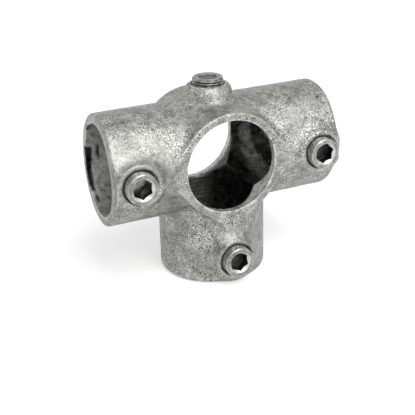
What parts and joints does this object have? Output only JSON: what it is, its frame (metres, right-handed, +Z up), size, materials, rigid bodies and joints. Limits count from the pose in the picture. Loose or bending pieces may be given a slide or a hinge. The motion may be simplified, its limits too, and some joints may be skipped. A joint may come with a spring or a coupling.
{
  "type": "tube clamp",
  "caption": "Cast cross fitting that joins round tubes: two run sockets, a stem socket and a through collar, each with a hexagon socket set screw.",
  "frame": {"origin": "where the axes of the run, the stem and the through collar cross", "axes": "+X along the run to the right socket, +Y along the through collar to the back, +Z up from the stem to the collar screw"},
  "size_m": [0.13, 0.0665, 0.1083],
  "materials": {
    "galvanised_iron": "hot-dip galvanised, matt with fine speckle",
    "zinc_steel": "zinc plated, satin"
  },
  "bodies": {
    "casting": {"casting": "galvanised_iron"},
    "left_screw": {"left_screw": "zinc_steel"},
    "right_screw": {"right_screw": "zinc_steel"},
    "stem_screw": {"stem_screw": "zinc_steel"},
    "collar_screw": {"collar_screw": "zinc_steel"}
  },
  "joints": [
    {"name": "left_screw_travel", "type": "slide", "parent": "casting", "child": "left_screw", "axis": [0, 1, 0], "range_m": [-0.002, 0.004]},
    {"name": "right_screw_travel", "type": "slide", "parent": "casting", "child": "right_screw", "axis": [0, 1, 0], "range_m": [-0.002, 0.004]},
    {"name": "stem_screw_travel", "type": "slide", "parent": "casting", "child": "stem_screw", "axis": [0, 1, 0], "range_m": [-0.002, 0.004]},
    {"name": "collar_screw_travel", "type": "slide", "parent": "casting", "child": "collar_screw", "axis": [0, 0, -1], "range_m": [-0.0015, 0.007]}
  ]
}
